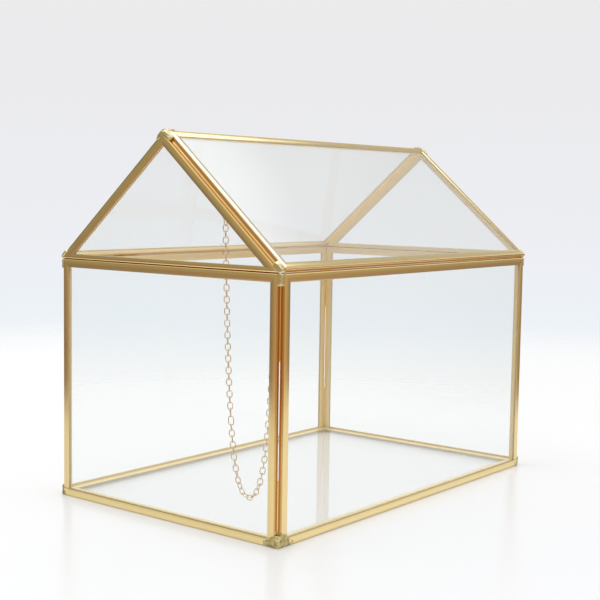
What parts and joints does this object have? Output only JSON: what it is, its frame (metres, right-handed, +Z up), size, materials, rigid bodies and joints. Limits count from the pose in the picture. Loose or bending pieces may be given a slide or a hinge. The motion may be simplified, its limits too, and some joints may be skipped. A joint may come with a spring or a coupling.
{
  "type": "wedding card box",
  "caption": "House-shaped clear glass card box edged in brass channel, with a hinged gable roof for a lid and a fine chain that stays the lid when it is open.",
  "frame": {"origin": "on the table, under the middle of the box", "axes": "+X across the gables to the side that opens, +Y along the ridge to the back gable, +Z up"},
  "size_m": [0.1742, 0.26, 0.2174],
  "materials": {
    "glass": "clear float glass",
    "brass_channel": "polished, lightly streaked",
    "solder": "dull, lumpy, brass-plated solder",
    "hinge_brass": "polished",
    "chain_wire": "bright drawn wire"
  },
  "bodies": {
    "box": {"front_wall_glass": "glass", "front_wall_bottom_channel": "brass_channel", "front_wall_right_channel": "brass_channel", "front_wall_top_channel": "brass_channel", "front_wall_left_channel": "brass_channel", "right_wall_glass": "glass", "right_wall_bottom_channel": "brass_channel", "right_wall_back_channel": "brass_channel", "right_wall_top_channel": "brass_channel", "right_wall_front_channel": "brass_channel", "back_wall_glass": "glass", "back_wall_bottom_channel": "brass_channel", "back_wall_left_channel": "brass_channel", "back_wall_top_channel": "brass_channel", "back_wall_right_channel": "brass_channel", "left_wall_glass": "glass", "left_wall_bottom_channel": "brass_channel", "left_wall_front_channel": "brass_channel", "left_wall_top_channel": "brass_channel", "left_wall_back_channel": "brass_channel", "floor_glass": "glass", "floor_front_channel": "brass_channel", "floor_right_channel": "brass_channel", "floor_back_channel": "brass_channel", "floor_left_channel": "brass_channel", "box_solder": "solder", "box_chain_eye": "chain_wire", "hinge_front_box_leaf": "hinge_brass", "hinge_front_pin": "hinge_brass", "hinge_back_box_leaf": "hinge_brass", "hinge_back_pin": "hinge_brass"},
    "lid": {"roof_left_glass": "glass", "roof_left_eave_channel": "brass_channel", "roof_left_front_channel": "brass_channel", "roof_left_ridge_channel": "brass_channel", "roof_left_back_channel": "brass_channel", "roof_right_glass": "glass", "roof_right_eave_channel": "brass_channel", "roof_right_back_channel": "brass_channel", "roof_right_ridge_channel": "brass_channel", "roof_right_front_channel": "brass_channel", "gable_front_glass": "glass", "gable_front_base_channel": "brass_channel", "gable_front_right_channel": "brass_channel", "gable_front_left_channel": "brass_channel", "gable_back_glass": "glass", "gable_back_base_channel": "brass_channel", "gable_back_left_channel": "brass_channel", "gable_back_right_channel": "brass_channel", "lid_solder": "solder", "lid_chain_eye": "chain_wire", "hinge_front_lid_leaf": "hinge_brass", "hinge_back_lid_leaf": "hinge_brass"},
    "chain_lid_run": {"chain_lid_run": "chain_wire"},
    "chain_middle_run": {"chain_middle_run": "chain_wire"},
    "chain_fold_near_lid": {"chain_fold_near_lid": "chain_wire"},
    "chain_fold_near_box": {"chain_fold_near_box": "chain_wire"},
    "chain_box_run": {"chain_box_run": "chain_wire"}
  },
  "joints": [
    {"name": "lid_hinge", "type": "hinge", "parent": "box", "child": "lid", "pos_m": [-0.087, 0, 0.14382], "axis": [0, -1, 0], "range_deg": [0, 111.6]},
    {"name": "chain_lid_run_pivot", "type": "hinge", "parent": "lid", "child": "chain_lid_run", "pos_m": [0.0429, -0.1252, 0.17179], "axis": [0, -1, 0], "range_deg": [-51.62, 0.5]},
    {"name": "chain_box_run_pivot", "type": "hinge", "parent": "box", "child": "chain_box_run", "pos_m": [0.0783, -0.1252, 0.1336], "axis": [0, -1, 0], "range_deg": [-110.85, 0.5]},
    {"name": "chain_fold_near_box_pivot", "type": "hinge", "parent": "chain_box_run", "child": "chain_fold_near_box", "pos_m": [0.0661, -0.1252, 0.02538], "axis": [0, -1, 0], "range_deg": [-0.5, 52.76]},
    {"name": "chain_fold_near_lid_pivot", "type": "hinge", "parent": "chain_fold_near_box", "child": "chain_fold_near_lid", "pos_m": [0.06091, -0.1252, 0.02222], "axis": [0, -1, 0], "range_deg": [-0.5, 68.67]},
    {"name": "chain_middle_run_pivot", "type": "hinge", "parent": "chain_fold_near_lid", "child": "chain_middle_run", "pos_m": [0.05597, -0.1252, 0.02593], "axis": [0, -1, 0], "range_deg": [-0.5, 42.08]}
  ],
  "couplings": [
    {"joint": "chain_lid_run_pivot", "follows": "lid_hinge", "ratio": -0.45805},
    {"joint": "chain_box_run_pivot", "follows": "lid_hinge", "ratio": -0.98879},
    {"joint": "chain_fold_near_box_pivot", "follows": "lid_hinge", "ratio": 0.46824},
    {"joint": "chain_fold_near_lid_pivot", "follows": "lid_hinge", "ratio": 0.61082},
    {"joint": "chain_middle_run_pivot", "follows": "lid_hinge", "ratio": 0.37261}
  ]
}
